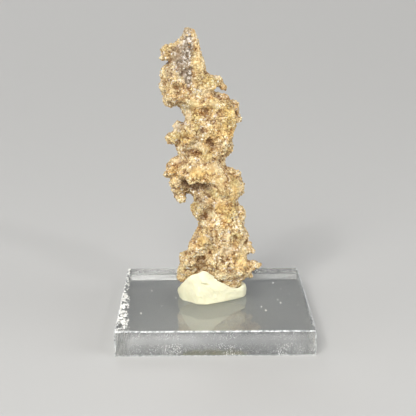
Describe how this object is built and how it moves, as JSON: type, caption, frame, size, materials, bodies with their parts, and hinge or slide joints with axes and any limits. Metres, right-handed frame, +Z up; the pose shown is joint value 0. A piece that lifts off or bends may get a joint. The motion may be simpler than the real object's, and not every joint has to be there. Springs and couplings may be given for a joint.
{
  "type": "mounted fulgurite",
  "caption": "Knobbly sand fulgurite standing in white mounting putty on a square clear acrylic display block.",
  "frame": {"origin": "middle of the acrylic block's underside", "axes": "+Z up along the standing fulgurite, +X to the right and -Y towards the viewer when its front is seen"},
  "size_m": [0.06, 0.06, 0.0946],
  "materials": {
    "clear_acrylic": "polished faces, fine saw-cut sides",
    "white_putty": "matte",
    "fused_sand": "sandy crust with glassy glints"
  },
  "bodies": {
    "root": {"acrylic_block": "clear_acrylic", "mounting_putty": "white_putty", "fulgurite": "fused_sand"}
  },
  "joints": []
}
